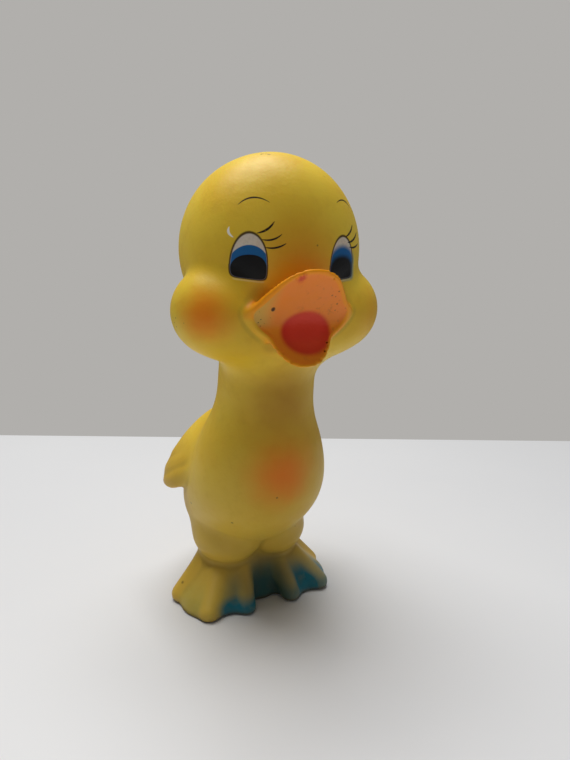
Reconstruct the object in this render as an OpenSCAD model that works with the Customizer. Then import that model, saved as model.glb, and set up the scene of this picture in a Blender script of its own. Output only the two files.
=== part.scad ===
// Soft vinyl squeeze duckling: one hollow moulded skin with a reed squeaker pressed into its sole.
// Front faces -Y, the sole lies on z = 0, lengths are millimetres.

/* [Figure] */
// Height of the duckling from sole to crown
figure_h = 188; // [170:1:210]
// Thickness of the moulded vinyl wall
wall = 2.2; // [1.8:0.1:3]
// Thickness of the sole inside the feet
sole_t = 4.2; // [3.8:0.1:5]

/* [Squeaker] */
// Diameter of the hole in the sole
seat_d = 17; // [14:0.5:18]
// Diameter of the flange that covers the hole
flange_d = 23; // [20:0.5:24]
// Thickness of the flange
flange_t = 1.2; // [1:0.1:1.6]
// Height of the squeaker barrel above the flange
barrel_h = 12.4; // [11:0.2:13]
// Wall of the squeaker barrel
barrel_wall = 1.2; // [0.8:0.1:1.6]
// Diameter of the air hole under the reed
air_d = 3.6; // [2.5:0.1:4]
// Number of air holes in the inner cap
cap_holes = 6; // [4:1:8]

/* [Reed] */
// Outer diameter of the reed pipe
pipe_d = 8; // [7.5:0.1:9]
// Bore of the reed pipe
pipe_bore = 4.4; // [4:0.1:5]
// Width of the reed strip
reed_w = 5.8; // [5.4:0.1:6.2]
// Thickness of the reed strip
reed_t = 0.15; // [0.1:0.01:0.25]

/* [Mesh] */
// Columns of points around the outside of the skin
columns = 60; // [48:2:64]
// Distance between rows of points up the skin
row_step = 3.6; // [3.5:0.1:5]

/* [Hidden] */
$fn = 64;

YELLOW = "#e3c64a";
CREAM = "#ece6d2";
BRASS = "#c9a54e";

// The figure is drawn about the squeaker's end of its sole, from the tip of the bill to the tail,
// and each piece is then moved so that the middle of that length lies at the origin.
bill_tip_y = -53.5;
tail_tip_y = 40.4;
middle_y = (bill_tip_y + tail_tip_y) / 2;
squeaker_y = 4.7;
far = 80;

// Squeaker levels, from the sole upwards.
recess_h = 1.6;
recess_d = flange_d + 1;
flange_z = recess_h - flange_t;
cup_floor_t = 2;
cup_floor_z = flange_z + cup_floor_t;
barrel_top = recess_h + barrel_h;
barrel_bore = seat_d - 2 * barrel_wall;
bead_h = 2;
bead_d = seat_d + 2;
collar_h = 1.4;
collar_d = pipe_d + 2;
cap_t = 1.2;
cap_plug_h = 1.4;
cap_plug_wall = 1.1;
cap_hole_d = 2.2;
cap_hole_circle = 8.4;

// Reed levels: the pipe is whole up to the clamp, and cut to a flat above it.
clamp_h = 1.9;
clamp_bottom = cup_floor_z + 2.2;
clamp_top = clamp_bottom + clamp_h;
pipe_top = barrel_top - cap_plug_h - 1.2;
flat_y = -0.5;
reed_gap = 0.25;
slot_clear = 0.12;
reed_y = flat_y - reed_gap - reed_t / 2;
reed_bottom = clamp_bottom + 0.2;
reed_top = pipe_top - 0.5;

// ---- Shape of the skin: a distance field blended from rounded forms ----

// Blend of two distances over the width k.
function blend(a, b, k) = let (h = max(k - abs(a - b), 0) / k) min(a, b) - h * h * k / 4;

// Distance from an ellipsoid that is tipped about X, then leaned about Y.
function egg(p, c, r, tip = 0, lean = 0) =
    let (q = p - c,
         l = [cos(lean) * q.x - sin(lean) * q.z, q.y, sin(lean) * q.x + cos(lean) * q.z],
         t = [l.x, cos(tip) * l.y + sin(tip) * l.z, cos(tip) * l.z - sin(tip) * l.y],
         k0 = norm([t.x / r.x, t.y / r.y, t.z / r.z]),
         k1 = norm([t.x / (r.x * r.x), t.y / (r.y * r.y), t.z / (r.z * r.z)]))
    k0 * (k0 - 1) / max(k1, 0.0001);

// Distance from a round bar between two balls.
function bar(p, a, b, ra, rb) =
    let (d = b - a, t = min(max((p - a) * d / (d * d), 0), 1)) norm(p - a - t * d) - ra - (rb - ra) * t;

function torso(p) =
    let (trunk = blend(egg(p, [0, -7.5, 58], [29, 26, 26]), egg(p, [0, 10, 43], [27, 24, 25]), 14),
         tail = egg(p, [0, 30, 46], [9, 11, 7], 30),
         neck = bar(p, [0, -16.5, 116], [0, -12.5, 80], 19, 20))
    blend(blend(trunk, tail, 10), neck, 18);

// The skull is round in front view and flatter over the face.
function skull(p) =
    let (q = p - [0, -17, 151.2], half_w = 34.6, half_h = 36.2, n = 2.4,
         depth = q.y < 0 ? 27.4 : 29.5,
         u = norm([q.x / half_w, q.z / half_h]) + 0.000001,
         v = abs(q.y) / depth + 0.000001,
         k = pow(pow(u, n) + pow(v, n), 1 / n),
         across = norm([q.x / (half_w * half_w), q.z / (half_h * half_h)]) / u,
         slope = norm([pow(v / k, n - 1) / depth, pow(u / k, n - 1) * across]))
    (k - 1) / max(slope, 1 / 60);

function head(p, m) =
    let (cheek = egg(m, [22.2, -26, 129.6], [19.2, 16.6, 17.2]),
         muzzle = egg(p, [0, -25, 121], [26.5, 18, 14.5]))
    blend(blend(skull(p), cheek, 4), muzzle, 7);

// One foot: three ridged toes, the webs under them, and the heel. The bridge joins the two feet.
function foot(p, m) =
    let (outer_toe = bar(m, [16, 6, 19], [32.3, 4.2, 2.5], 6.5, 5),
         middle_toe = bar(m, [13, 1, 17], [27, -14.6, 2], 6.5, 4.8),
         inner_toe = bar(m, [8, -1, 16], [11, -17, 1.5], 6.5, 4.4),
         inner_web = bar(m, [10, 3, 16], [17.5, -2.5, 0], 9, 14),
         outer_web = bar(m, [14, 3, 12], [25, -4.5, -1], 6, 8.5),
         heel = bar(m, [11, 10, 16], [17, 15, 1], 8, 7),
         bridge = blend(bar(p, [0, 0, 14], [0, -5, 0], 7, 8), bar(p, [0, 6, 16], [0, 8, 0], 10, 13), 5),
         toes = blend(blend(outer_toe, middle_toe, 4.5), inner_toe, 4.5))
    blend(blend(blend(blend(toes, inner_web, 5), outer_web, 3), heel, 8), bridge, 5);

function skin_field(p) =
    let (m = [abs(p.x), p.y, p.z],
         legs = egg(m, [10.5, 2, 29], [15.5, 17, 13.5]))
    blend(blend(blend(torso(p), head(p, m), 8), legs, 5), foot(p, m), 3);

// Walks a ray to the surface from outside, and to the inner face from inside.
function from_outside(c, d, r, left = 60) =
    let (f = skin_field(c + r * d))
    f < 0.04 || left == 0 ? r : from_outside(c, d, r - max(0.75 * f, 0.1), left - 1);
function from_inside(c, d, r, left = 60) =
    let (f = skin_field(c + r * d) + wall)
    f > -0.04 || left == 0 ? r : from_inside(c, d, r + max(-0.75 * f, 0.1), left - 1);

// The rays leave a spine that leans forward with the neck, level up to the middle of the head,
// and fan out over the crown from there.
head_z = 150;
function spine(z) = [0, lookup(z, [[0, 3], [30, 2], [60, -3], [95, -13], [150, -17]]), z];
function ray(elevation, turn) = [sin(turn) * cos(elevation), -cos(turn) * cos(elevation), sin(elevation)];

// Columns crowd towards the front, where the bill needs them.
function turns(n) = [for (i = [0:n - 1]) let (t = 360 * i / n) t - 24 * sin(t)];
function levels(bottom, step) =
    let (n = ceil((head_z - bottom) / step)) [for (i = [0:n]) bottom + (head_z - bottom) * i / n];
function fan(n) = [for (i = [1:n - 1]) 90 * i / n];

function outer_rings(angles) = concat(
    [for (z = levels(-1, row_step)) [for (a = angles)
        let (d = ray(0, a), r = from_outside(spine(z), d, far)) spine(z) + r * d]],
    [for (e = fan(13)) [for (a = angles)
        let (d = ray(e, a), r = from_outside(spine(head_z), d, far)) spine(head_z) + r * d]]);
function inner_rings(angles) = concat(
    [for (z = levels(sole_t, 2 * row_step)) [for (a = angles)
        let (d = ray(0, a), r = from_inside(spine(z), d, 0.5)) spine(z) + r * d]],
    [for (e = fan(8)) [for (a = angles)
        let (d = ray(e, a), r = from_inside(spine(head_z), d, 0.5)) spine(head_z) + r * d]]);

// Closes rings of points into a solid, with a point under the bottom ring and one over the top.
module ringed_solid(rings, bottom_point, top_point) {
    n = len(rings[0]);
    m = len(rings);
    points = concat([bottom_point], [for (ring = rings) each ring], [top_point]);
    top = len(points) - 1;
    at = function (j, i) 1 + j * n + i % n;
    faces = concat(
        [for (i = [0:n - 1]) [0, at(0, i), at(0, i + 1)]],
        [for (j = [0:m - 2], i = [0:n - 1]) each [
            [at(j, i), at(j + 1, i), at(j + 1, i + 1)],
            [at(j, i), at(j + 1, i + 1), at(j, i + 1)]]],
        [for (i = [0:n - 1]) [at(m - 1, i), top, at(m - 1, i + 1)]]);
    polyhedron(points, faces, convexity = 10);
}

// ---- Bill and wings ----

// Edge of the open bill at the angle t: a wide upper half that tips up, and a narrower lower half.
mouth = [0, -44.8, 123.4];
function edge(t) =
    let (up = sin(t) > 0,
         power = up ? 1.85 : 1.6,
         half_w = 17.4 + 2 * sin(t),
         reach = up ? [0, bill_tip_y + 42.5, 19.1] : [0, -7, -13.3],
         x = sign(cos(t)) * pow(abs(cos(t)), 2 / power),
         s = pow(abs(sin(t)), 2 / power))
    [half_w * x, -42.5, 126.2] + s * reach;

// A ring of the bill at the share r of the way from the mouth to its edge, y mm from the edge.
function bill_ring(r, y, n = 40) = [for (i = [0:n - 1]) let (e = edge(360 * i / n))
    [r * e.x, y(e.y), mouth.z + r * (e.z - mouth.z)]];
module bill() {
    dished = function (r) bill_ring(r, function (y) mouth.y + (y - mouth.y) * pow(r, 0.76));
    ringed_solid(concat(
        [bill_ring(0.6, function (y) mouth.y + 9), bill_ring(0.85, function (y) y + 6),
         bill_ring(0.96, function (y) y + 3), bill_ring(1, function (y) y + 1.2)],
        [for (r = [1, 0.92, 0.8, 0.65, 0.5, 0.35, 0.18]) dished(r)]),
        mouth + [0, 9, 0], mouth);
}

// A wing is a flat leaf that hangs back from the shoulder and stands out at its tip.
module wing() translate([19.9, 11.5, 66.8]) rotate([17, -38.3, 0]) scale([6.3, 15.4, 24])
    sphere(r = 1, $fn = 26);

// ---- Pieces ----

module at_squeaker() translate([0, squeaker_y - middle_y, 0]) children();

module disc(d, bottom, top) translate([0, 0, bottom]) cylinder(d = d, h = top - bottom);

module figure() resize([0, 0, figure_h]) difference() {
    union() {
        ringed_solid(outer_rings(turns(columns)), spine(-1),
            spine(head_z) + [0, 0, from_outside(spine(head_z), [0, 0, 1], far)]);
        bill();
        wing();
        mirror([1, 0, 0]) wing();
    }
    translate([-far, -far, -10]) cube([2 * far, 2 * far, 10]);
}

module air_chamber() ringed_solid(inner_rings(turns(columns / 2)), spine(sole_t),
    spine(head_z) + [0, 0, from_inside(spine(head_z), [0, 0, 1], 0.5)]);

module vinyl_skin() color(YELLOW) difference() {
    translate([0, -middle_y, 0]) figure();
    translate([0, -middle_y, 0]) air_chamber();
    at_squeaker() disc(seat_d, -1, sole_t + 1);
    at_squeaker() disc(recess_d, -1, recess_h);
}

// The cup's bead rests on the inside of the sole, and its flange in the recess under it.
module squeaker_cup() color(CREAM) at_squeaker() difference() {
    union() {
        disc(flange_d, flange_z, recess_h);
        disc(seat_d, flange_z, barrel_top);
        translate([0, 0, sole_t]) rotate_extrude()
            polygon([[0, 0], [bead_d / 2, 0], [bead_d / 2, bead_h * 0.3],
                     [seat_d / 2, bead_h], [0, bead_h]]);
    }
    difference() {
        disc(barrel_bore, cup_floor_z, barrel_top + 1);
        difference() {
            disc(collar_d, cup_floor_z - 1, cup_floor_z + collar_h);
            disc(pipe_d, cup_floor_z, cup_floor_z + collar_h + 1);
        }
    }
    disc(air_d, flange_z - 1, cup_floor_z + 1);
}

module squeaker_cap() color(CREAM) at_squeaker() difference() {
    union() {
        disc(seat_d, barrel_top, barrel_top + cap_t);
        disc(barrel_bore, barrel_top - cap_plug_h, barrel_top + cap_t / 2);
    }
    disc(barrel_bore - 2 * cap_plug_wall, barrel_top - cap_plug_h - 1, barrel_top);
    for (i = [0:cap_holes - 1])
        rotate([0, 0, i * 360 / cap_holes]) translate([cap_hole_circle / 2, 0, 0])
            disc(cap_hole_d, barrel_top - 1, barrel_top + cap_t + 1);
}

// A block as wide as the reed with the given room round it.
module reed_block(side_room, face_room, bottom, top)
    translate([-reed_w / 2 - side_room, reed_y - reed_t / 2 - face_room, bottom])
        cube([reed_w + 2 * side_room, reed_t + 2 * face_room, top - bottom]);

module reed_pipe() color(CREAM) at_squeaker() difference() {
    disc(pipe_d, cup_floor_z, pipe_top);
    disc(pipe_bore, cup_floor_z - 1, pipe_top - 1);
    translate([-pipe_d, -pipe_d + flat_y, clamp_top]) cube([2 * pipe_d, pipe_d, pipe_top]);
    reed_block(slot_clear, slot_clear, clamp_bottom, clamp_top + 1);
}

// The wedge fills the front of the bore beside the reed's tail.
module reed_wedge() color(CREAM) at_squeaker() intersection() {
    disc(pipe_bore, clamp_bottom, clamp_top + 0.6);
    translate([-pipe_bore, reed_y - reed_t / 2 - slot_clear - pipe_bore, clamp_bottom])
        cube([2 * pipe_bore, pipe_bore, clamp_h + 1]);
}

module reed() color(BRASS) at_squeaker() reed_block(0, 0, reed_bottom, reed_top);

vinyl_skin();
squeaker_cup();
squeaker_cap();
reed_pipe();
reed_wedge();
reed();
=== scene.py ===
"""Squeeze duckling: soft vinyl moulding with sprayed and stamped paint, and the squeaker in its sole.

Shapes are worked out in millimetres in the moulder's frame, where the sole is z = 0, the front is -Y and the
squeaker stands 4.7 mm behind x = y = 0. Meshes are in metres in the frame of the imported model.
"""

import math

import bpy
import numpy as np
from mathutils import Matrix, Vector


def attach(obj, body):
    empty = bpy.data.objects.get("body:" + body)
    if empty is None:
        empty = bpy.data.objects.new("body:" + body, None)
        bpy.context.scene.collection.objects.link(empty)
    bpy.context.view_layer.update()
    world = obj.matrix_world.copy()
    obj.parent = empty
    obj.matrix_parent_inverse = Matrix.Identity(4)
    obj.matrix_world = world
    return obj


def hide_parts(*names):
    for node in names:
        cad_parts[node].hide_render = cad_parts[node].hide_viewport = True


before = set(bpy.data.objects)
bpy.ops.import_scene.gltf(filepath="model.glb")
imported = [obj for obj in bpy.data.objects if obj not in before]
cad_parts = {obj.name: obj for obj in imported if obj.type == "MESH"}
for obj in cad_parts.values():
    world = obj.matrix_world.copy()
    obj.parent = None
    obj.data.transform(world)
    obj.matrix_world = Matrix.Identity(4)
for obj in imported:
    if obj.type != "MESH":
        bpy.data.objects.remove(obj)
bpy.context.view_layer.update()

MM = 0.001
MIDDLE_Y = 6.55  # the moulder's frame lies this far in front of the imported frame, in mm
WALL = 2.2
SOLE = 4.2
SQUEAKER_Y = 4.7
SEAT_R = 8.5
RECESS_R = 12.0
RECESS_H = 1.6
HEIGHT = 186.8


# ---- Shape of the moulding -------------------------------------------------------------------------------


def blend(a, b, k):
    """Union of two distances, rounded over the width k: the smaller one, less h squared times k / 4."""
    h = np.maximum(k - np.abs(a - b), 0) / k
    return np.minimum(a, b) - h * h * k / 4


def common(a, b, k):
    """What two forms have in common, rounded over the width k."""
    return -blend(-a, -b, k)


def ramp(lo, hi, x):
    """Smooth step from 0 at lo to 1 at hi."""
    t = np.clip((x - lo) / (hi - lo), 0, 1)
    return t * t * (3 - 2 * t)


def egg(p, centre, radii, tip=0.0, lean=0.0):
    """Distance from an ellipsoid that is tipped about X, then leaned about Y: k0 (k0 - 1) / k1, where k0 is
    the length of the point over the radii and k1 its length over their squares."""
    q = p - np.array(centre, float)
    a, b = math.radians(lean), math.radians(tip)
    x = math.cos(a) * q[..., 0] - math.sin(a) * q[..., 2]
    z = math.sin(a) * q[..., 0] + math.cos(a) * q[..., 2]
    y = math.cos(b) * q[..., 1] + math.sin(b) * z
    z = math.cos(b) * z - math.sin(b) * q[..., 1]
    rx, ry, rz = radii
    k0 = np.sqrt((x / rx) ** 2 + (y / ry) ** 2 + (z / rz) ** 2)
    k1 = np.sqrt((x / rx**2) ** 2 + (y / ry**2) ** 2 + (z / rz**2) ** 2) + 1e-9
    return k0 * (k0 - 1) / k1


def bar(p, a, b, ra, rb):
    """Distance from a round bar whose radius runs from ra at the point a to rb at b."""
    a, b = np.array(a, float), np.array(b, float)
    t = np.clip((p - a) @ (b - a) / ((b - a) @ (b - a)), 0, 1)
    return np.linalg.norm(p - (a + t[..., None] * (b - a)), axis=-1) - (ra + (rb - ra) * t)


def mirrored(p):
    return np.stack([np.abs(p[..., 0]), p[..., 1], p[..., 2]], -1)


def skull(p):
    """Round in front view and flatter over the face: (u^2.4 + v^2.4)^(1/2.4) = 1, where u is the share of the
    front view's ellipse and v the share of the depth."""
    q = p - np.array([0, -17.0, 151.2])
    a, c, power = 34.2, 35.0, 2.4
    b = np.where(q[..., 1] < 0, 27.4, 29.5)
    u = np.sqrt((q[..., 0] / a) ** 2 + (q[..., 2] / c) ** 2) + 1e-6
    v = np.abs(q[..., 1]) / b + 1e-6
    k = (u**power + v**power) ** (1 / power)
    across = (u / k) ** (power - 1) / u
    slope = np.sqrt(
        ((v / k) ** (power - 1) / b) ** 2
        + across**2 * ((q[..., 0] / a**2) ** 2 + (q[..., 2] / c**2) ** 2)
    )
    return (k - 1) / np.maximum(slope, 1 / 60)


LIP_Z = 126.0  # height of the corners of the mouth
LIP_Y = -43.3
BILL_T = 2.4


def bill_reach(angle):
    """How far the bill's edge lies from the middle of its lips in front view, against the angle above them: a
    low lower jaw, a step up at the corners of the mouth, a bulge over them, and a high upper jaw."""
    upper = (5.3 + 1.0 * np.sin(np.radians(angle)) ** 2) * ramp(-24, 8, angle)
    corner = 2.0 * np.exp(-(((angle - 13) / 9) ** 2)) - 0.7 * np.exp(-(((angle - 42) / 15) ** 2))
    return 13.7 + upper + corner + 1.2 * ramp(-20, -80, angle)


def bill_terms(p):
    """The face of the bill is a height field in y: it tips forward up and down from the corners of the mouth,
    is hollowed about the throat, and has a rolled edge. Returns the share of the way out to the edge, the
    height of the face, the share of the throat's oval, and the distance from the edge in front view."""
    x, z = np.abs(p[..., 0]), p[..., 2] - LIP_Z
    away = np.hypot(x, z)
    reach = bill_reach(np.degrees(np.arctan2(z, x)))
    outline = away / reach
    lift = np.sqrt(z * z + 25.0) - 5.0
    edge_y = LIP_Y - np.where(z > 0, 12.6 * lift / 15.4, 6.9 * lift / 10.6)
    oval = np.hypot((p[..., 0] - 2.1) / 10.3, (p[..., 2] - 123.2) / 7.8)
    hollow = 0.5 * (1 - ramp(0.5, 1.15, oval)) - 0.6 * (1 - np.clip(outline, 0, 1.2) ** 2)
    roll = 0.55 * np.exp(-(((outline - 0.93) * reach / 1.1) ** 2))
    return outline, edge_y + hollow - roll, oval, (away - reach) * 0.9


def bill_slab(p):
    """The plate behind the bill's face, thicker at its roots. Returns its distance, the distance in front of
    the face, and the distance from the edge in front view."""
    _, face_y, _, side = bill_terms(p)
    root = 1.8 * ramp(9, 18, np.abs(p[..., 0])) * ramp(118, 124, p[..., 2])
    front = (face_y - p[..., 1]) * 0.85
    back = (p[..., 1] - face_y - BILL_T - root) * 0.85
    return common(common(side, front, 2.0), back, 2.0), front, side


def head(p):
    """The skull, full cheeks low on its sides, and a muzzle that carries the bill."""
    m = mirrored(p)
    cheeks = egg(m, (22.2, -26, 129.6), (19.2, 16.6, 17.2))
    muzzle = egg(p, (0, -25, 121), (26.5, 18, 14.5))
    return blend(blend(skull(p), cheeks, 4), muzzle, 7)


# Each toe's ankle end, its tip, and the radius at its tip
TOE_ROOT_R = 5.2
TOES = (
    ((16, 6, 20), (32.6, 4.2, 2.6), 4.4),
    ((13, 1, 18), (27.0, -14.7, 2.3), 4.3),
    ((8, -1, 17), (11.0, -17.0, 2.0), 4.2),
)


FOOT_TURN, FOOT_SHIFT = math.radians(3.0), 0.9


def foot_frame(p):
    """The pair of feet has taken a small set: it is turned a little and stands a little to the left."""
    a = FOOT_TURN
    x, y = p[..., 0] - FOOT_SHIFT, p[..., 1]
    return np.stack([x * math.cos(a) + y * math.sin(a), y * math.cos(a) - x * math.sin(a), p[..., 2]], -1)


def feet(p):
    """Three ridged toes with a web between them, a heel, and the bridge that joins the two feet."""
    q = foot_frame(p)
    m = mirrored(q)
    toes = [bar(m, a, b, TOE_ROOT_R, r) for a, b, r in TOES]
    d = blend(blend(toes[0], toes[1], 3.5), toes[2], 3.5)
    d = blend(d, bar(m, (10, 3, 16), (17.8, -3.0, -1), 9, 14.4), 4)
    d = blend(d, bar(m, (14, 3, 12), (25.4, -4.7, -1), 6, 9.8), 4)
    d = blend(d, bar(m, (11, 10, 16), (17, 15, 1), 8, 7), 8)
    bridge = blend(bar(q, (0, 0, 14), (0, -5, 0), 7, 8), bar(q, (0, 6, 16), (0, 8, 0), 10, 13), 5)
    return blend(d, bridge, 5)


GROOVE_PITCH, GROOVE_DEPTH = 6.5, 0.16


def wing(p):
    """A flat leaf that hangs back from the shoulder, with faint feather grooves across its outer half."""
    m = mirrored(p)
    leaf = egg(m, (20, 11.5, 67), (6, 15.5, 24), 17, -38)
    along = 0.8 * m[..., 2] + 0.5 * m[..., 1]
    return leaf + GROOVE_DEPTH * np.cos(along * 2 * math.pi / GROOVE_PITCH) * ramp(24, 31, m[..., 0])


def figure(p):
    """Trunk, tail, neck, head, legs, feet and wings blended into one, with the bill's plate joined to the
    face and whatever lies in front of the bill's face taken off."""
    m = mirrored(p)
    trunk = blend(egg(p, (0, -7.5, 58), (29, 26, 26)), egg(p, (0, 10, 43), (27, 24, 25)), 14)
    trunk = blend(trunk, egg(p, (0, 30, 46), (9, 11, 7), 30), 10)
    d = blend(trunk, bar(p, (0, -16.5, 116), (0, -12.5, 80), 19, 20), 18)
    d = blend(d, head(p), 8)
    d = blend(d, egg(m, (10.5, 2, 29), (15.5, 17, 13.5)), 4)
    d = blend(d, feet(p), 3)
    d = blend(d, wing(p), 3)
    slab, front, side = bill_slab(p)
    return common(blend(d, slab, 3), -common(-front, side + 1.2, 1), 1.2)


def moulding(p):
    """The hollow moulding: the figure above its flat sole, less the chamber, the hole in the sole and the
    round recess for the squeaker's flange."""
    body = figure(p)
    z = p[..., 2]
    reach = np.hypot(p[..., 0], p[..., 1] - SQUEAKER_Y)
    chamber = np.maximum(body + WALL, SOLE - z)
    hole = np.maximum(reach - SEAT_R, z - SOLE - 1)
    recess = np.maximum(reach - RECESS_R, z - RECESS_H)
    outside = common(body, -z, 1.0)
    return common(outside, -np.minimum(np.minimum(chamber, hole), recess), 0.5)


def ticks(*runs):
    """Lattice lines from runs of (start, end, spacing)."""
    lines = [np.linspace(a, b, max(2, round((b - a) / step) + 1)) for a, b, step in runs]
    return np.unique(np.round(np.concatenate(lines), 4))


def window(grid, offset, shape):
    i, j, k = offset
    return grid[i : i + shape[0], j : j + shape[1], k : k + shape[2]]


def surface_net(field, xs, ys, zs):
    """Points and quads of the surface where a distance field is zero. Each lattice cell that the surface
    crosses holds one point, the mean of the crossings on its twelve edges, and each crossed lattice edge is
    closed by a quad of the four cells round it."""
    grid = np.stack(np.meshgrid(xs, ys, zs, indexing="ij"), -1)
    value = np.concatenate([field(slab) for slab in np.array_split(grid, 12)])
    cells = tuple(n - 1 for n in value.shape)
    total, count = np.zeros((*cells, 3)), np.zeros(cells)
    for axis in range(3):
        for side in range(4):
            lo = [0, 0, 0]
            lo[(axis + 1) % 3], lo[(axis + 2) % 3] = side % 2, side // 2
            hi = [n + (k == axis) for k, n in enumerate(lo)]
            v0, v1 = window(value, lo, cells), window(value, hi, cells)
            crossed = np.nonzero((v0 < 0) != (v1 < 0))
            t = (v0[crossed] / (v0[crossed] - v1[crossed]))[:, None]
            p0, p1 = window(grid, lo, cells)[crossed], window(grid, hi, cells)[crossed]
            total[crossed] += p0 + t * (p1 - p0)
            count[crossed] += 1
    used = count > 0
    number = np.full(cells, -1)
    number[used] = np.arange(used.sum())
    points = total[used] / count[used][:, None]
    quads = []
    for axis in range(3):
        b, c = (axis + 1) % 3, (axis + 2) % 3
        inside = np.moveaxis(value < 0, (axis, b, c), (0, 1, 2))
        cell = np.moveaxis(number, (axis, b, c), (0, 1, 2))
        here, there = inside[:-1, 1:-1, 1:-1], inside[1:, 1:-1, 1:-1]
        corners = [cell[:, :-1, :-1], cell[:, 1:, :-1], cell[:, 1:, 1:], cell[:, :-1, 1:]]
        for crossed, order in ((here & ~there, (0, 1, 2, 3)), (there & ~here, (3, 2, 1, 0))):
            quads.append(np.stack([corners[n][crossed] for n in order], -1))
    return points, np.concatenate(quads)


def settle(field, points, rounds=3, step=0.06):
    """Newton steps that bring the points onto the surface: less the distance times the slope."""
    for _ in range(rounds):
        slope = np.stack(
            [field(points + step * n) - field(points - step * n) for n in np.eye(3)], -1
        ) / (2 * step)
        length = np.maximum((slope**2).sum(-1), 0.2)
        points = points - np.clip(field(points) / length, -0.4, 0.4)[:, None] * slope
    return points


def to_frame(points):
    """Millimetres in the moulder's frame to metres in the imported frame."""
    return (np.asarray(points) + np.array([0, MIDDLE_Y, 0])) * MM


def mesh_piece(name, points, faces, smooth=True):
    mesh = bpy.data.meshes.new(name)
    mesh.from_pydata(points.tolist(), [], faces.tolist())
    mesh.validate()
    if smooth:
        mesh.shade_smooth()
    piece = bpy.data.objects.new(name, mesh)
    bpy.context.scene.collection.objects.link(piece)
    return piece


def give(piece, name, values):
    """Stores one number for each point, which the paint reads."""
    attribute = piece.data.attributes.new(name, "FLOAT", "POINT")
    attribute.data.foreach_set("value", np.ascontiguousarray(values, np.float32))


BEND_STEP = 2.5


def make_skin():
    """The moulding's surface net, and what the paint reads at each point: how far the bill's plate, edge,
    face and throat are, how hollow or full the figure is there, and how far the toes' ridges are."""
    xs = ticks((-44, -20, 1.15), (-20, 20, 0.92), (20, 44, 1.15))
    ys = ticks((-59, -34, 0.85), (-34, 44, 1.2))
    zs = ticks((-1.5, 20, 0.95), (20, 106, 1.4), (106, 160, 0.9), (160, 191, 1.3))
    points, quads = surface_net(moulding, xs, ys, zs)
    points = settle(moulding, points)
    outline, face_y, oval, _ = bill_terms(points)
    slab = bill_slab(points)[0]
    in_front = ramp(1.2, 0.2, points[:, 1] - face_y)
    around = (figure(points + side * BEND_STEP * n) for n in np.eye(3) for side in (-1, 1))
    bend = sum(around) - 6 * figure(points)
    q = mirrored(foot_frame(points))
    ridge = np.min([bar(q, a, b, TOE_ROOT_R, r) for a, b, r in TOES], axis=0) + TOE_ROOT_R
    top = points[:, 2].max()
    piece = mesh_piece("duckling_skin", to_frame(points * np.array([1, 1, HEIGHT / top])), quads)
    give(piece, "bill_near", slab)
    give(piece, "bill_outline", outline)
    give(piece, "bill_face", in_front)
    give(piece, "mouth_oval", oval)
    give(piece, "bend", bend)
    give(piece, "toe_ridge", ridge)
    return piece


skin = make_skin()


# ---- Paint and finishes ----------------------------------------------------------------------------------


class Wire:
    """A socket in a material's node tree. Arithmetic on wires adds the Math nodes that work it out."""

    def __init__(self, tree, socket):
        self.tree, self.socket = tree, socket

    def node(self, kind, inputs=None, settings=None, out=0):
        """Adds a node: its settings first, then the values or wires of its sockets."""
        made = self.tree.nodes.new("ShaderNode" + kind)
        for key, value in (settings or {}).items():
            setattr(made, key, value)
        for key, value in (inputs or {}).items():
            if isinstance(value, Wire):
                self.tree.links.new(value.socket, made.inputs[key])
            else:
                made.inputs[key].default_value = value
        return None if out is None else Wire(self.tree, made.outputs[out])

    def math(self, operation, *values):
        return self.node("Math", dict(enumerate(values)), {"operation": operation})

    def __add__(self, other):
        return self.math("ADD", self, other)

    __radd__ = __add__

    def __sub__(self, other):
        return self.math("SUBTRACT", self, other)

    def __rsub__(self, other):
        return self.math("SUBTRACT", other, self)

    def __mul__(self, other):
        return self.math("MULTIPLY", self, other)

    __rmul__ = __mul__

    def __truediv__(self, other):
        return self.math("DIVIDE", self, other)

    def __pow__(self, other):
        return self.math("POWER", self, other)

    def __abs__(self):
        return self.math("ABSOLUTE", self)

    def least(self, other):
        return self.math("MINIMUM", self, other)

    def most(self, other):
        return self.math("MAXIMUM", self, other)

    def step(self, lo, hi):
        """Smooth step: 0 at lo and 1 at hi, which may be the smaller."""
        return self.node(
            "MapRange", {0: self, 1: lo, 2: hi, 3: 0.0, 4: 1.0}, {"interpolation_type": "SMOOTHSTEP"}
        )


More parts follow.
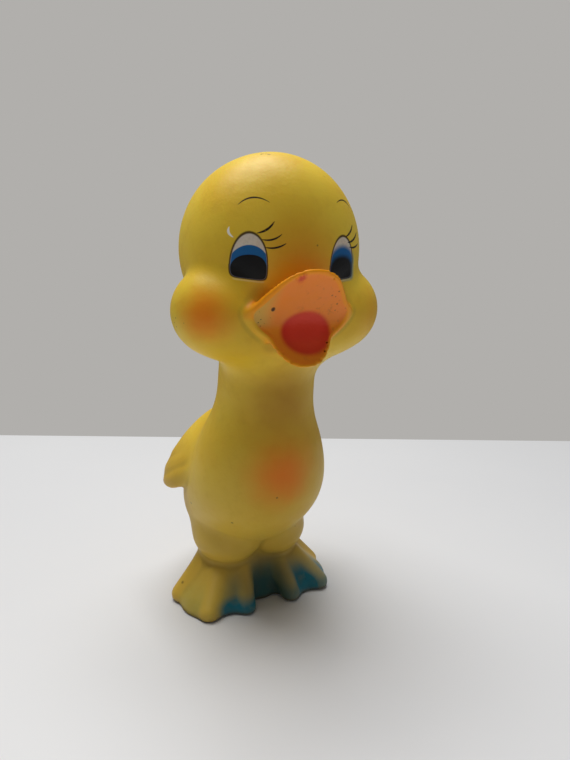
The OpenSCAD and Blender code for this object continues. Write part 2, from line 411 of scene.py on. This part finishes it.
class Finish:
    """A material with its Principled shader, and the wires that its paint reads."""

    def __init__(self, name, **uniform):
        self.material = bpy.data.materials.new(name)
        self.material.use_nodes = True
        self.tree = self.material.node_tree
        self.shader = self.tree.nodes["Principled BSDF"]
        for key, value in uniform.items():
            self.shader.inputs[key.replace("_", " ")].default_value = value
        self.start = Wire(self.tree, None)
        self.place = self.start.node("TexCoord", out="Object")
        shift = (0.0, -MIDDLE_Y, 0.0)
        self.mm = self.start.node(
            "VectorMath", {0: self.place, 1: (1 / MM,) * 3, 2: shift}, {"operation": "MULTIPLY_ADD"}
        )
        split = self.start.node("SeparateXYZ", {0: self.mm})
        self.x, self.y, self.z = (
            Wire(self.tree, split.socket.node.outputs[n]) for n in range(3)
        )

    def noise(self, size, detail=2.0, rough=0.5, stretch=(1, 1, 1), seed=0.0):
        """Noise from 0 to 1 whose blotches are about size mm across."""
        at = self.start.node(
            "VectorMath",
            {0: self.mm, 1: tuple(n / size for n in stretch), 2: (seed, seed * 1.7, seed * 0.6)},
            {"operation": "MULTIPLY_ADD"},
        )
        return self.start.node(
            "TexNoise", {"Vector": at, "Scale": 1.0, "Detail": detail, "Roughness": rough}
        )

    def specks(self, size, seed, share, dot=0.24):
        """Small round dots, one in some of the cells that are size mm across: 1 in a dot."""
        at = self.start.node(
            "VectorMath", {0: self.mm, 1: (1 / size,) * 3, 2: (seed,) * 3}, {"operation": "MULTIPLY_ADD"}
        )
        cell = self.start.node("TexVoronoi", {"Vector": at, "Scale": 1.0}).socket.node
        near, colour = Wire(self.tree, cell.outputs["Distance"]), Wire(self.tree, cell.outputs["Color"])
        pick = self.start.node("SeparateColor", {0: colour})
        return near.step(dot, dot * 0.5) * pick.step(1 - share, 1 - share + 0.01)

    def distance(self, at, point):
        return self.start.node("VectorMath", {0: at, 1: point}, {"operation": "DISTANCE"}, out="Value")

    def near(self, point, lo, hi):
        """1 within lo mm of the point, 0 past hi mm."""
        return self.distance(self.mm, point).step(hi, lo)

    def disc(self, x, z, lo, hi):
        """The same in front view: 1 within lo mm of (x, z), 0 past hi mm."""
        return (((self.x - x) ** 2 + (self.z - z) ** 2) ** 0.5).step(hi, lo)

    def stored(self, name):
        return self.start.node("Attribute", {}, {"attribute_name": name}, out="Fac")

    def mix(self, share, under, over):
        """The colour under, covered by the colour over in the share given."""
        return self.start.node("Mix", {0: share, 6: under, 7: over}, {"data_type": "RGBA"}, out=2)

    def join(self, **wires):
        for key, wire in wires.items():
            self.tree.links.new(wire.socket, self.shader.inputs[key.replace("_", " ")])

    def bumps(self, height, strength, distance):
        self.join(
            Normal=self.start.node(
                "Bump", {"Strength": strength, "Distance": distance, "Height": height}
            )
        )


def srgb(red, green, blue):
    """Linear colour, with alpha, from 0 to 255 display values."""
    v = np.array([red, green, blue]) / 255
    return (*np.where(v <= 0.04045, v / 12.92, ((v + 0.055) / 1.055) ** 2.4).tolist(), 1.0)


# Brush strokes on the face as (x, z) in mm: start, middle and end, then the width there.
LASHES_AND_BROWS = (
    ((-16.5, 157), (-13.5, 158), (-10.5, 161), 0.75),
    ((-15, 155), (-11.5, 155), (-8, 157), 0.62),
    ((-14, 152.5), (-10, 152.5), (-6.5, 154), 0.62),
    ((18.5, 157), (21, 158.5), (23, 161.5), 0.8),
    ((19.5, 155), (23, 156), (26, 159), 0.8),
    ((20.5, 153.5), (24, 153.5), (27, 155), 0.7),
    ((-21.5, 166), (-16.5, 168.5), (-11.5, 167), 0.52),
    ((15, 168.5), (19, 170), (23.5, 167.5), 0.52),
)
GLINT = ((-24.5, 159), (-24.5, 156.5), (-23.5, 155.5), 0.7)

# Sprayed blush rounds on the body, and first a painted shadow under the head on the front of the neck: centre
# and reach in mm, strength and colour, in the order they go on.
CHEEK_CENTRE, CHEEK_REACH = (32.5, -39.0, 130.0), 14.0
BODY_BLUSHES_AND_NECK_SHADE = (
    # painted shadow under the head, on the front of the neck
    ((0.0, -35.0, 96.0), 27.0, 0.75, srgb(170, 116, 22)),
    ((-1.0, -35.0, 70.0), 34.0, 0.5, srgb(206, 146, 20)),
    ((-1.0, -35.0, 67.0), 20.0, 0.88, srgb(244, 124, 10)),
    ((-1.0, -44.0, 151.0), 24.0, 0.65, srgb(212, 150, 20)),
)

# Small knocks and paint spots: place and radius in mm.
SPOTS = (
    ((-28.4, -2.0, 46.7), 0.8),
    ((-18.0, -23.4, 45.1), 0.8),
    ((-3.4, -34.1, 57.7), 0.6),
    ((-32.1, 0.9, 8.8), 1.0),
    ((-33.1, -40.0, 137.3), 0.5),
    ((5.4, -44.3, 153.6), 0.5),
)

LEMON, STRAW, LOWER_BODY_SHADE, TOBACCO = (
    srgb(240, 205, 66), srgb(230, 187, 44), srgb(208, 172, 70), srgb(205, 162, 44)
)
WING_PAINTED_SHADE, CHEEK_ORANGE = srgb(186, 146, 50), srgb(250, 132, 6)
LIP_ORANGE, JAW_ORANGE, LIP_STAIN, BARE_CORNER = (
    srgb(252, 158, 14), srgb(252, 148, 28), srgb(140, 78, 48), srgb(214, 182, 84)
)
SALMON, APRICOT = srgb(250, 142, 56), srgb(248, 142, 34)
THROAT_RED, THROAT_RIM_SHADE, RED_SMEAR = srgb(238, 66, 40), srgb(224, 50, 26), srgb(206, 48, 44)
WEB_BLUE, WEB_GREEN, FOOT_GAP_SHADE = srgb(26, 112, 128), srgb(96, 132, 80), srgb(38, 76, 62)
EYE_CREAM, EYE_SPECKLE, EYE_LINE = srgb(226, 212, 192), srgb(196, 180, 160), srgb(52, 36, 20)
IRIS_BLUE, PUPIL_BLACK, BLUE_OVERSPRAY = srgb(24, 100, 160), srgb(4, 4, 6), srgb(50, 122, 146)
LID_CREAM, INK, GLINT_WHITE = srgb(236, 214, 140), srgb(26, 17, 12), srgb(255, 250, 236)
GRIME_AND_CREASE_SHADE, SPECK = srgb(104, 76, 34), srgb(46, 30, 20)


def stroke(f, start, middle, end, width):
    """A brush stroke: the parabola through three points in front view, thinning to both ends."""
    (x0, z0), (x1, z1) = start, end
    half = math.hypot(x1 - x0, z1 - z0) / 2
    cx, cz = (x0 + x1) / 2, (z0 + z1) / 2
    ux, uz = (x1 - x0) / 2 / half, (z1 - z0) / 2 / half
    bow = -(middle[0] - cx) * uz + (middle[1] - cz) * ux
    lean = ((middle[0] - cx) * ux + (middle[1] - cz) * uz) / half
    s = ((f.x - cx) * ux + (f.z - cz) * uz) / half
    t = (f.x - cx) * -uz + (f.z - cz) * ux
    over = 1 - s * s
    gap = abs(t - over * (bow * (1 + lean * 0.5)))
    reach = over.most(0.0) ** 0.5 * (width / 2)
    return (gap - reach).step(0.10, -0.10) * over.step(0.0, 0.04) * f.y.step(-25, -27)


def bare_vinyl(f, broad, fine):
    """Yellow that has aged unevenly, with painted shade that makes it darker and duller towards the feet and
    on the wings.
    """
    colour = f.mix(broad.step(0.35, 0.68), LEMON, STRAW)
    # painted shade: darker and duller towards the feet
    colour = f.mix(f.z.step(100, 15) * 0.85, colour, LOWER_BODY_SHADE)
    colour = f.mix(fine.step(0.45, 0.8) * 0.25, colour, TOBACCO)
    # painted shade on the wings, darker and duller
    wings = abs(f.x).step(22, 29) * f.y.step(-2, 8) * f.z.step(96, 84)
    return f.mix(wings * 0.4, colour, WING_PAINTED_SHADE)


def blushes_and_neck_shade(f, colour):
    """Soft sprayed rounds on the cheeks, belly and between the eyes, weaker on the left cheek, and a soft
    round of painted shadow under the head on the breast.
    """
    wobble = (f.noise(9, 2, seed=1.4) - 0.5) * 5
    both_sides = f.start.node("CombineXYZ", {0: abs(f.x + 0.6), 1: f.y, 2: f.z})
    cheeks = (f.distance(both_sides, CHEEK_CENTRE) + wobble).step(CHEEK_REACH, 0.0)
    colour = f.mix(cheeks * f.x.step(12, -12).most(0.3) * 0.9, colour, CHEEK_ORANGE)
    # the first round is painted shadow under the head, the others are sprayed blush
    for centre, reach, strength, paint in BODY_BLUSHES_AND_NECK_SHADE:
        soft_patch = (f.distance(f.mm, centre) + wobble).step(reach, 0.0)
        colour = f.mix(soft_patch * strength, colour, paint)
    return colour


def bill_paint(f, colour, broad, fine):
    """Orange over the lips and back, salmon inside, and red in the throat, darkened towards its rim as
    painted shade of the hollow. Returns the colour, the bill's inside and the throat."""
    x, z = f.x, f.z
    outline, face, oval = f.stored("bill_outline"), f.stored("bill_face"), f.stored("mouth_oval")
    on_bill = f.stored("bill_near").step(1.9, 0.5) * z.step(111, 113.5)
    root = abs(x).step(22.5, 17.5)
    left_fold = (x + 10.5).step(0, -4.5) * z.step(130, 127.5)
    colour = f.mix(on_bill * (0.35 + root * 0.65) * (1 - left_fold * 0.75), colour, LIP_ORANGE)
    inner = face * outline.step(0.915, 0.865) * on_bill
    below = z.step(127.5, 124.5)
    lining = f.mix(fine.step(0.3, 0.75) * 0.5, SALMON, APRICOT)
    lining = f.mix(below, lining, JAW_ORANGE)
    stain = f.noise(2.4, 3, 0.65, seed=12.0).step(0.54, 0.74) * (x + 2).step(-6, 8)
    lining = f.mix(stain * 0.3, lining, LIP_STAIN)
    corner = (x + 9.0).step(0.5, -7.5) * (1 - below)
    lining = f.mix(corner * 0.8, lining, BARE_CORNER)
    colour = f.mix(inner, colour, lining)
    throat = inner * (oval + (broad - 0.5) * 0.08).step(1.10, 0.84)
    # the throat's red paint, with painted shade darkening it towards its rim
    colour = f.mix(throat, colour, f.mix(oval.step(0.5, 1.0), THROAT_RED, THROAT_RIM_SHADE))
    return colour, inner, throat


def foot_paint(f, colour, fine):
    """Blue-green sprayed from the front, caught in the webs and missing the toes' ridges, and painted shade
    in the gap between the feet."""
    x, y, z = f.x, f.y, f.z
    valley = f.stored("toe_ridge").step(4.5, 6.3)
    soft_patch = y.step(2, -12) * z.step(20, 6) * (x + 8).step(-16, 8)
    low = z.step(8.5, 3.0) * y.step(-6, -13) * (x + 20).step(-6, 4)
    blue = soft_patch * (0.12 + valley * 0.95) + low * (0.14 + valley * 0.6 + x.step(2, -4) * 0.4)
    blue = blue.least(1.0) * (0.75 + fine * 0.5).least(1.0)
    green = valley * z.step(16, 5) * y.step(4, -6) * x.step(-6, -12)
    # painted shade in the gap between the feet
    between_feet_shade = abs(x - 3.5).step(11.0, 4.0) * z.step(24, 10) * y.step(4, -4)
    colour = f.mix(green * 0.35, colour, WEB_GREEN)
    colour = f.mix(blue, colour, WEB_BLUE)
    return f.mix(between_feet_shade * 0.75, colour, FOOT_GAP_SHADE)


EYE_X, EYE_Z, EYE_SHIFT = 17.95, 149.9, 0.8
ARCH_FOOT = 3.0  # how far below the eye's middle its arch starts


def eye_paint(f, colour):
    """A tall arch over a flat, slanting lower lid; the iris and pupil are ovals that hang low in it. The left
    eye is sprayed softly and has blue overspray. Returns the colour and the eyes' white."""
    front = f.y.step(-24, -27)
    across = f.x + EYE_SHIFT
    u, v = abs(across) - EYE_X, f.z - EYE_Z
    soft = across.step(-2, 2) * 0.9 + 0.12
    drop = v - 0.11 * u
    arch = ((u / 5.55) ** 2 + ((v + ARCH_FOOT) / 9.9) ** 2) ** 0.5
    lid = ((abs(u) / 5.65) ** 6 + (abs(drop + ARCH_FOOT) / 4.7) ** 6) ** (1 / 6)
    top_half = (v + ARCH_FOOT).step(-0.02, 0.02)
    gap = (arch * top_half + lid * (1 - top_half) - 1) * 5.4
    white = gap.step(0.15, -0.15) * front
    ring = abs(gap - 0.08).step(0.55, 0.22) * front
    iris = (((u / 6.7) ** 2 + ((v + 4.6) / 7.8) ** 2) ** 0.5 - 1) * 6.5
    pupil = (((abs(u) / 5.75) ** 2.4 + (abs(v + 5.6) / 5.7) ** 2.4) ** (1 / 2.4) - 1) * 5.2
    halo = (gap - 0.4).step(1.7, 0.0) * across.step(0, 4) * v.step(3.5, -1.5) * (u + 1).step(-2.0, 3.0)
    speckle = f.noise(0.9, 2, seed=5.0).step(0.35, 0.75)
    pale = abs(gap - 0.85).step(0.55, 0.1) * drop.step(-7.4, -8.4) * abs(u).step(5.6, 4.6) * front
    colour = f.mix(halo * front * 0.85, colour, BLUE_OVERSPRAY)
    colour = f.mix(ring * 0.93, colour, EYE_LINE)
    colour = f.mix(white, colour, f.mix(speckle * 0.4, EYE_CREAM, EYE_SPECKLE))
    colour = f.mix(white * (iris - soft * 0.6).step(soft, 0 - soft), colour, IRIS_BLUE)
    colour = f.mix(white * (pupil - soft * 0.3).step(soft, 0 - soft), colour, PUPIL_BLACK)
    return f.mix(pale * 0.6, colour, LID_CREAM), white


def brush_lines(f, colour):
    """Lashes and brows, a little worn, and a white glint by the right eye."""
    first, *rest = (stroke(f, *marks) for marks in LASHES_AND_BROWS)
    ink = first
    for line in rest:
        ink = ink.most(line)
    worn = f.noise(1.3, 2, seed=2.0).step(0.20, 0.42)
    colour = f.mix(ink * (0.72 + worn * 0.28), colour, INK)
    return f.mix(stroke(f, *GLINT), colour, GLINT_WHITE)


def wear(f, colour, fine, inner):
    """Painted shade with some grime in the creases, grime round the sole, specks, scuffs on the crown, and
    small spots. Returns the colour and the grime with the crease shade."""
    # painted shade with some grime: darker in the creases, where the figure is hollow
    creases = f.stored("bend").step(-0.15, -1.2) * 0.22 * (1 - inner)
    grime = (f.z.step(2.4, 0.3) * (0.35 + fine * 0.5)).most(creases)
    # grime round the sole, and painted shade with some grime in the creases
    colour = f.mix(grime, colour, GRIME_AND_CREASE_SHADE)
    strewn = f.specks(6.0, 4.4, 0.10, 0.06) * 0.6
    on_cheek = f.specks(1.6, 7.3, 0.5) * f.near((-37.5, -30, 127), 1.0, 6.5)
    on_root = f.specks(1.05, 2.2, 0.5) * f.near((-15.2, -43.6, 129.0), 1.8, 4.4)
    on_lip = f.specks(2.0, 9.1, 0.45) * f.near((13.5, -46.5, 136), 3, 8) * 0.6
    scuffs = f.noise(1.6, 3, 0.7, (0.5, 1, 1), 6.6).step(0.55, 0.66) * (
        f.near((-7, -26, 185.5), 1.5, 6) + f.near((12.8, -34, 178.6), 0.5, 3.0) * 0.8
    )
    face = f.stored("bill_face")
    black = strewn.most(on_cheek).most(on_root).most(on_lip).most(scuffs * 0.7)
    black = black.most(f.disc(-11.6, 132.1, 0.5, 0.95) * face)
    for point, size in SPOTS:
        black = black.most(f.near(point, size * 0.3, size) * 0.6)
    colour = f.mix(black.least(1.0), colour, SPECK)
    smear = f.disc(-4.9, 142.9, 0.5, 2.3) * face * f.noise(1.2, 2, seed=9).step(0.3, 0.55)
    return f.mix(smear * 0.85, colour, RED_SMEAR), grime


def vinyl():
    f = Finish(
        "aged_yellow_vinyl",
        Subsurface_Weight=0.22,
        Subsurface_Radius=(1.0, 0.62, 0.16),
        Subsurface_Scale=0.004,
        Specular_IOR_Level=0.28,
        IOR=1.5,
    )
    broad, fine = f.noise(34, 2, seed=3.1), f.noise(5, 3, 0.6, seed=8.2)
    colour = blushes_and_neck_shade(f, bare_vinyl(f, broad, fine))
    colour, inner, throat = bill_paint(f, colour, broad, fine)
    colour = foot_paint(f, colour, fine)
    colour, white = eye_paint(f, colour)
    colour = brush_lines(f, colour)
    colour, grime = wear(f, colour, fine, inner)
    gloss_paint = (white * 0.5).most(throat)
    rough = 0.46 + (fine - 0.5) * 0.16 - gloss_paint * 0.14 + grime * 0.2
    f.join(Base_Color=colour, Roughness=rough)
    orange_peel = f.noise(1.1, 2, seed=0.7) * 0.5 + f.noise(6.5, 2, seed=4.0) + fine * 0.15
    f.bumps(orange_peel, 0.22, 0.0006)
    return f.material


CUP_CREAM, CUP_SHADE, CUP_GRIME = srgb(226, 216, 188), srgb(206, 192, 158), srgb(120, 98, 66)
BRASS, TARNISH = srgb(214, 176, 96), srgb(150, 112, 58)
TABLE_PALE, TABLE_CLOUD = srgb(228, 229, 231), srgb(218, 219, 222)


def cream_plastic():
    f = Finish("moulded_squeaker_plastic", Specular_IOR_Level=0.45)
    cloud, grain = f.noise(7, 3, seed=1.0), f.noise(0.7, 2, seed=5.0)
    colour = f.mix(cloud.step(0.35, 0.7), CUP_CREAM, CUP_SHADE)
    grime = f.z.step(2.0, 0.2) * f.noise(2.4, 3, 0.65, seed=3.0).step(0.4, 0.7)
    colour = f.mix(grime * 0.5, colour, CUP_GRIME)
    f.join(Base_Color=colour, Roughness=0.42 + cloud * 0.2)
    f.bumps(grain + cloud * 0.4, 0.15, 0.0003)
    return f.material


def reed_metal():
    f = Finish("rolled_brass_strip", Metallic=1.0)
    streak = f.noise(0.5, 3, 0.6, (3, 3, 0.25), 2.0)
    tarnish = f.noise(2.5, 3, 0.6, seed=6.0)
    colour = f.mix(tarnish.step(0.4, 0.75), BRASS, TARNISH)
    f.join(Base_Color=colour, Roughness=0.24 + streak * 0.22 + tarnish * 0.1)
    f.bumps(streak, 0.1, 0.0001)
    return f.material


def table_finish():
    f = Finish("pale_table")
    cloud = f.noise(160, 3, seed=2.0)
    f.join(Base_Color=f.mix(cloud, TABLE_PALE, TABLE_CLOUD), Roughness=0.42 + cloud * 0.1)
    return f.material


def wear_finish(piece, material):
    piece.data.materials.clear()
    piece.data.materials.append(material)


wear_finish(skin, vinyl())
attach(skin, "toy")
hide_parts("vinyl_skin")

plastic, brass = cream_plastic(), reed_metal()
for name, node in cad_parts.items():
    if name != "vinyl_skin":
        node_finish = brass if name == "reed" else plastic
        for n in range(len(node.material_slots)):
            node.material_slots[n].material = node_finish


# ---- Table, light and camera -----------------------------------------------------------------------------


TABLE_SINK = 0.0002
TABLE_BACK = (np.array([-0.104, 0.294, -TABLE_SINK]), np.array([0.333, 0.096, -TABLE_SINK]))
TABLE_HALF_WIDTH, TABLE_DEPTH, TABLE_CELLS = 0.9, 1.6, 24


def make_table():
    """A flat top, a hair below the sole. Its back edge crosses behind the toy; the others are far away."""
    left, right = TABLE_BACK
    along = (right - left) / np.linalg.norm(right - left)
    across = np.array([-along[1], along[0], 0])
    corners = left - TABLE_HALF_WIDTH * along, right + TABLE_HALF_WIDTH * along
    share = np.linspace(0, 1, TABLE_CELLS + 1)
    u, v = np.meshgrid(share, share, indexing="ij")
    start = corners[0] + u[..., None] * (corners[1] - corners[0])
    points = (start - v[..., None] * TABLE_DEPTH * across).reshape(-1, 3)
    index = np.arange(share.size**2).reshape(share.size, share.size)
    faces = np.stack([index[:-1, :-1], index[:-1, 1:], index[1:, 1:], index[1:, :-1]], -1).reshape(-1, 4)
    table = mesh_piece("table", points, faces, smooth=False)
    wear_finish(table, table_finish())


ROOM_GREY, ROOM_LIGHT, ROOM_GLOW = srgb(177, 175, 172), (0.96, 0.98, 1.0, 1.0), 0.145


def make_world():
    """A plain grey room behind the toy, and a weak even light on it from all round."""
    world = bpy.data.worlds.new("studio_air")
    bpy.context.scene.world = world
    world.use_nodes = True
    tree = world.node_tree
    tree.nodes.clear()
    start = Wire(tree, None)
    seen = start.node("Background", {0: ROOM_GREY, 1: 1.0})
    lit = start.node("Background", {0: ROOM_LIGHT, 1: ROOM_GLOW})
    direct = start.node("LightPath", out="Is Camera Ray")
    room = start.node("MixShader", {0: direct, 1: lit, 2: seen})
    start.node("OutputWorld", {0: room}, out=None)


PANEL_PLACE, PANEL_AIM = Vector((-0.05, 0.18, 1.1)), Vector((0, 0, 0))
PANEL_SIZE, PANEL_WATTS, PANEL_COLOUR = 0.8, 13.2, (1.0, 0.985, 0.96)


def make_ceiling_panel():
    """A square soft panel overhead, a little behind the toy."""
    light = bpy.data.lights.new("ceiling_panel", "AREA")
    light.shape, light.size = "SQUARE", PANEL_SIZE
    light.energy, light.color = PANEL_WATTS, PANEL_COLOUR
    lamp = bpy.data.objects.new("ceiling_panel", light)
    bpy.context.scene.collection.objects.link(lamp)
    lamp.location = PANEL_PLACE
    lamp.rotation_mode = "QUATERNION"
    lamp.rotation_quaternion = (PANEL_AIM - PANEL_PLACE).to_track_quat("-Z", "Y")


STAND_OFF, STAND_HEIGHT, STAND_SHIFT = 242, 150, 5  # mm
AZIMUTH, YAW, PITCH, ROLL = (math.radians(n) for n in (-24.0, 2.3, 12.3, 1.2))
LENS, SENSOR = 27.05, 36.0


def make_camera():
    """Stands off to one side in front of the toy, looks down on it, and is turned by yaw, pitch and roll:
    each turn weights two of its directions by the angle's cosine and sine."""
    a = AZIMUTH
    ahead = np.array([-math.sin(a), math.cos(a), 0])
    right = np.array([math.cos(a), math.sin(a), 0])
    up = np.array([0, 0, 1.0])

    def turned(one, other, angle):
        return (
            one * math.cos(angle) + other * math.sin(angle),
            other * math.cos(angle) - one * math.sin(angle),
        )

    ahead, right = turned(ahead, right, YAW)
    up, ahead = turned(up, ahead, PITCH)
    right, up = turned(right, up, ROLL)
    foot = STAND_OFF * math.sin(a) + STAND_SHIFT, -STAND_OFF * math.cos(a) + MIDDLE_Y
    place = np.array([*foot, STAND_HEIGHT])
    data = bpy.data.cameras.new("camera")
    data.lens, data.sensor_width, data.sensor_fit = LENS, SENSOR, "AUTO"
    data.clip_start, data.clip_end = 0.01, 20
    camera = bpy.data.objects.new("camera", data)
    bpy.context.scene.collection.objects.link(camera)
    turn = np.eye(4)
    turn[:3, 0], turn[:3, 1], turn[:3, 2], turn[:3, 3] = right, up, -ahead, place * MM
    camera.matrix_world = Matrix(turn.tolist())
    bpy.context.scene.camera = camera


make_table()
make_world()
make_ceiling_panel()
make_camera()
scene = bpy.context.scene
scene.view_settings.view_transform = "Standard"
scene.view_settings.look = "None"
